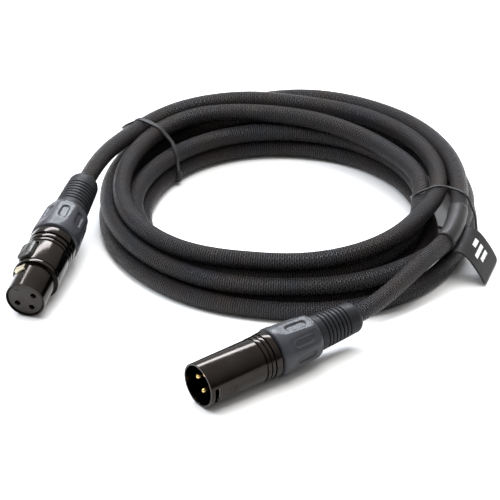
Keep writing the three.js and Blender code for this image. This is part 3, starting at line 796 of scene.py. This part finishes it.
def taut_reach(strands, way, reach):
    """How far along one way the taut outline round the strands lies, over all its tangents."""
    turns = np.radians(np.arange(0, 360, 3))
    normals = np.stack([np.cos(turns), np.sin(turns)], 1)
    support = (strands @ normals.T).max(0) + reach
    facing = normals @ way
    near = facing > 0.05
    return float((support[near] / facing[near]).min())


def ties():
    for side in (0, 1):
        turn = tube(f"tie_left_cord_{side + 1}", taut_loop(LEFT_LEAN, 0.0, (-0.36, 0.36)[side]), THREAD_R, 12,
                    closed=True)
        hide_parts(f"tie_left_turn_{side + 1}")
        dress(turn, THREAD, slot="waxed_cord")
    right = tube("tie_right_cord", taut_loop(RIGHT_LEAN, 1.6), THREAD_R, 12, closed=True)
    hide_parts("tie_right_turn")
    dress(right, THREAD, slot="waxed_cord")
    inner = taut_loop(LEFT_LEAN)
    low = inner[(inner[:, 2] > 1.2) & (inner[:, 2] < 6.5)]
    low = low[np.linalg.norm(low[:, :2] - COIL[:2], axis=1) < 70]
    spine = evenly(low, 0.08)
    up, out = sides_of(spine)
    turn = np.linspace(0, 5 * 2 * math.pi, len(spine))[:, None]
    twist = tube("tie_left_wrapping", spine + 0.95 * (up * np.cos(turn) + out * np.sin(turn)), THREAD_R, 10)
    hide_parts("tie_left_twist")
    dress(twist, THREAD, slot="waxed_cord")
    bight = tube("tie_left_loop_end", through(LOOP_END, False), THREAD_R, 12)
    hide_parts("tie_left_bight")
    dress(bight, THREAD, slot="waxed_cord")


def label_sleeve():
    ends = [np.array(PLUG_TAIL[i]) + COIL for i in (4, 6)]
    near = [int(np.argmin(np.linalg.norm(LINE - end, axis=1))) for end in ends]
    part = LINE[min(near):max(near) + 1]
    sleeve = tube("label_wrap", part, 4.22, 40, caps=False)
    wall = sleeve.modifiers.new("wall", "SOLIDIFY")
    wall.thickness, wall.offset = 0.35 * MM, -1
    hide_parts("label_sleeve")
    return dress(sleeve, FILM, slot="label_film")


FLAG_AT = np.array([72.5, -24.7, 0.0])
FLAG_OUT = np.array([0.958, -0.288, 0.0])
FLAG_WIDE = np.array([-0.288, -0.958, 0.0])
FLAG_WIDTH = 20.6
FLAG_DROOP = [(0.9, 14.75), (3.2, 14.8), (5.6, 13.9), (8.2, 11.7), (11.0, 7.9), (13.4, 4.1), (15.2, 0.55)]


def label_flag():
    """The folded flag: a thin sheet that leaves the wrap level and droops to the floor."""
    bm = bmesh.new()
    bmesh.ops.create_grid(bm, x_segments=32, y_segments=28, size=0.5)
    sheet = bm.loops.layers.uv.new("sheet")
    run = np.r_[0, np.cumsum(np.linalg.norm(np.diff(np.array(FLAG_DROOP), axis=0), axis=1))]
    knots = eased_line(np.stack([np.interp(np.linspace(0, run[-1], 61), run, [k[i] for k in FLAG_DROOP])
                                 for i in (0, 1)], 1), 3.0)
    corner = 1.3
    for face in bm.faces:
        for loop in face.loops:
            loop[sheet].uv = (loop.vert.co.x + 0.5, loop.vert.co.y + 0.5)
    for v in bm.verts:
        wide, down = v.co.x, v.co.y + 0.5
        out = np.interp(down * 60, np.arange(61), knots[:, 0])
        lift = np.interp(down * 60, np.arange(61), knots[:, 1])
        past = max(0.0, (down - 1) * run[-1] + corner) / corner
        width = FLAG_WIDTH - 2 * corner * (1 - math.sqrt(max(0.0, 1 - past * past)))
        ripple = 0.25 * math.sin(down * 5 + wide * 4) * down * (1 - down)
        at = COIL + FLAG_AT + FLAG_OUT * (out + ripple) + FLAG_WIDE * (FLAG_WIDTH / 2 + wide * width)
        v.co = Vector((at[0], at[1], lift + ripple)) * MM
    bmesh.ops.recalc_face_normals(bm, faces=bm.faces)
    obj = add("label_flag_sheet", mesh_of("label_flag_sheet", bm))
    smooth(obj.data, 60)
    wall = obj.modifiers.new("wall", "SOLIDIFY")
    wall.thickness, wall.offset = 0.5 * MM, 0
    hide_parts("label_flag")
    return dress(obj, FLAG, slot="label_film")


ties()
label_sleeve()
label_flag()

# ---- the pieces of the CAD that show as they are ----
SHOWN = {
    "plug_insulator": INSERT,
    "socket_latch_lever": STEEL,
    "plug_cable_clamp": PLASTIC,
    "socket_cable_clamp": PLASTIC,
}
for name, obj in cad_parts.items():
    kept = SHOWN.get(name)
    if kept is None and "_lead_" in name:
        kept = RUBBER
    if kept is None and name.startswith("socket_contact"):
        kept = GOLD
    if kept is not None:
        obj.data.materials.clear()
        obj.data.materials.append(kept)


# ---- floor and light ----

def floor():
    bm = bmesh.new()
    bmesh.ops.create_grid(bm, x_segments=1, y_segments=1, size=6.0)
    bmesh.ops.translate(bm, verts=bm.verts, vec=(0, 0, -0.0002))
    obj = bpy.data.objects.new("floor", mesh_of("floor", bm))
    bpy.context.scene.collection.objects.link(obj)
    obj.data.materials.append(finish_of("pale_floor", (0.7, 0.7, 0.7), 0.4, **{"Specular IOR Level": 0.2}))


def softbox(name, at, size, watts, colour=(1, 1, 1)):
    """A rectangular light that faces the middle of the floor."""
    data = bpy.data.lights.new(name, "AREA")
    data.shape = "RECTANGLE"
    data.size, data.size_y = size
    data.energy = watts
    data.color = colour
    obj = bpy.data.objects.new(name, data)
    bpy.context.scene.collection.objects.link(obj)
    obj.location = at
    obj.rotation_euler = (-Vector(at)).to_track_quat("-Z", "Y").to_euler()


bpy.context.scene.view_settings.view_transform = "Standard"
floor()
softbox("back_window", (-0.1, 0.95, 0.95), (1.0, 0.3), 26.0, (0.88, 0.93, 1.0))
softbox("left_window", (-0.95, 0.15, 0.75), (0.3, 0.6), 10.0, (0.84, 0.91, 1.0))
softbox("overhead", (0.1, 0.1, 1.6), (1.2, 1.2), 34.0)
# Its own reflection would be a wide glare on the black chrome.
bpy.data.objects["overhead"].visible_glossy = False


def studio_sky():
    """A plain white studio: bright overhead and behind, dimmer round the front."""
    world = bpy.data.worlds.new("studio")
    bpy.context.scene.world = world
    world.use_nodes = True
    tree = world.node_tree
    parts = tree.nodes.new("ShaderNodeSeparateXYZ")
    tree.links.new(tree.nodes.new("ShaderNodeTexCoord").outputs[0], parts.inputs[0])
    behind, up = S(tree, parts.outputs[1]), S(tree, parts.outputs[2])
    power = (up * 0.85 + behind * 0.35).clamp(-0.1, 0.95, 0.16, 1.4)
    tree.links.new(power.socket, tree.nodes["Background"].inputs[1])
    tree.nodes["Background"].inputs[0].default_value = (1.0, 0.982, 0.965, 1)


studio_sky()
